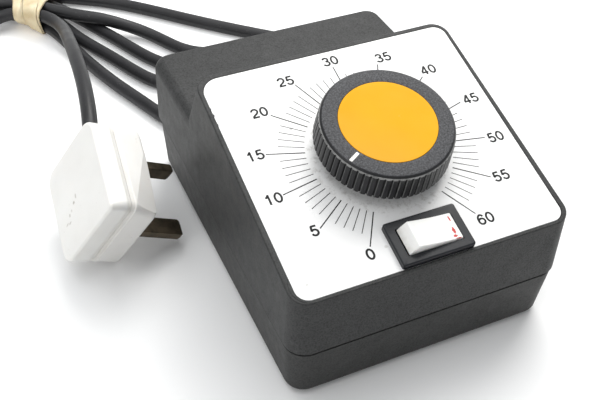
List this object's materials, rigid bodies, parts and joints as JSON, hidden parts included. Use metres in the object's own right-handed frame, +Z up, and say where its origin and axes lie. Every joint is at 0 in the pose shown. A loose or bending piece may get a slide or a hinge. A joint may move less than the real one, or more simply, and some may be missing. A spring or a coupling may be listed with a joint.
{
  "type": "darkroom enlarger timer",
  "caption": "Desk timer with a sloped white 0 to 60 dial, a ribbed rotary knob, a white rocker switch and a tied mains lead with a three-pin plug.",
  "frame": {"origin": "centre of the housing's footprint, on the surface its rubber feet stand on", "axes": "+Z up; -Y is the front edge with the rocker switch; +Y is the rear, where the lead leaves; +X is to the right as the dial is read"},
  "size_m": [0.2439, 0.3707, 0.0916],
  "materials": {
    "shell": "fine grained moulded plastic",
    "plate": "satin white enamel on thin aluminium",
    "knob": "satin moulded plastic",
    "disc": "bright yellow-orange label disc",
    "pointer": "white inlay",
    "switch_black": "semi gloss",
    "rocker": "semi gloss white",
    "rubber": "matt",
    "lead": "dark grey flexible sheath",
    "gland": "matt",
    "band": "natural rubber",
    "plug": "smooth white moulding",
    "pins": "tarnished",
    "steel": "zinc plated",
    "brass": "plain",
    "shaft": "turned",
    "pot": "brown phenolic and plated steel",
    "board": "phenolic paper board",
    "core": "laminated iron, varnished",
    "copper": "enamelled copper wire on a bobbin",
    "relay": "blue cover",
    "can": "sleeved can",
    "film": "dipped block",
    "resistor": "lacquered",
    "chip": "moulded",
    "trim": "open trimmer",
    "glass": "clear tube with plated caps",
    "terminal": "natural nylon",
    "brown": "wire insulation",
    "blue": "wire insulation",
    "grey": "wire insulation"
  },
  "bodies": {
    "housing": {"upper_case": "shell", "lower_case": "shell", "rubber_feet": "rubber", "case_screws": "steel", "dial_plate": "plate", "pot_body": "pot", "pot_terminals": "steel", "pot_washer": "steel", "pot_nut": "steel", "switch_body": "switch_black", "switch_terminals": "brass", "circuit_board": "board", "board_screws": "steel", "transformer_core": "core", "transformer_coil": "copper", "relay": "relay", "electrolytic_capacitors": "can", "film_capacitor": "film", "resistors": "resistor", "diodes": "chip", "transistors": "chip", "timer_chip": "chip", "trimmer": "trim", "fuse": "glass", "fuse_clips": "brass", "terminal_block": "terminal", "terminal_screws": "steel", "outlet_socket": "switch_black", "outlet_contacts": "brass", "outlet_screws": "steel", "strain_relief": "gland", "inner_lead": "lead", "cord_clamp": "terminal", "clamp_screws": "steel", "wires_brown": "brown", "wires_blue": "blue", "wires_signal": "grey", "cord_exit": "lead", "cord_tail": "lead", "cord_hank": "lead", "rubber_band": "band", "plug_base": "plug", "plug_cover": "plug", "plug_flat_pins": "pins", "plug_earth_pin": "pins", "plug_cover_screw": "steel", "plug_fuse": "glass"},
    "dial_knob": {"knob": "knob", "knob_disc": "disc", "knob_pointer": "pointer", "knob_grub_screw": "brass", "pot_shaft": "shaft"},
    "rocker_key": {"rocker": "rocker", "switch_contact": "copper"}
  },
  "joints": [
    {"name": "knob_turn", "type": "hinge", "parent": "housing", "child": "dial_knob", "pos_m": [0, -0.031, 0.0682], "axis": [0, -0.274, 0.9617], "range_deg": [-270, 30]},
    {"name": "rocker_tilt", "type": "hinge", "parent": "housing", "child": "rocker_key", "pos_m": [0, -0.06903, 0.05352], "axis": [0, -0.9617, -0.274], "range_deg": [0, 21]}
  ]
}
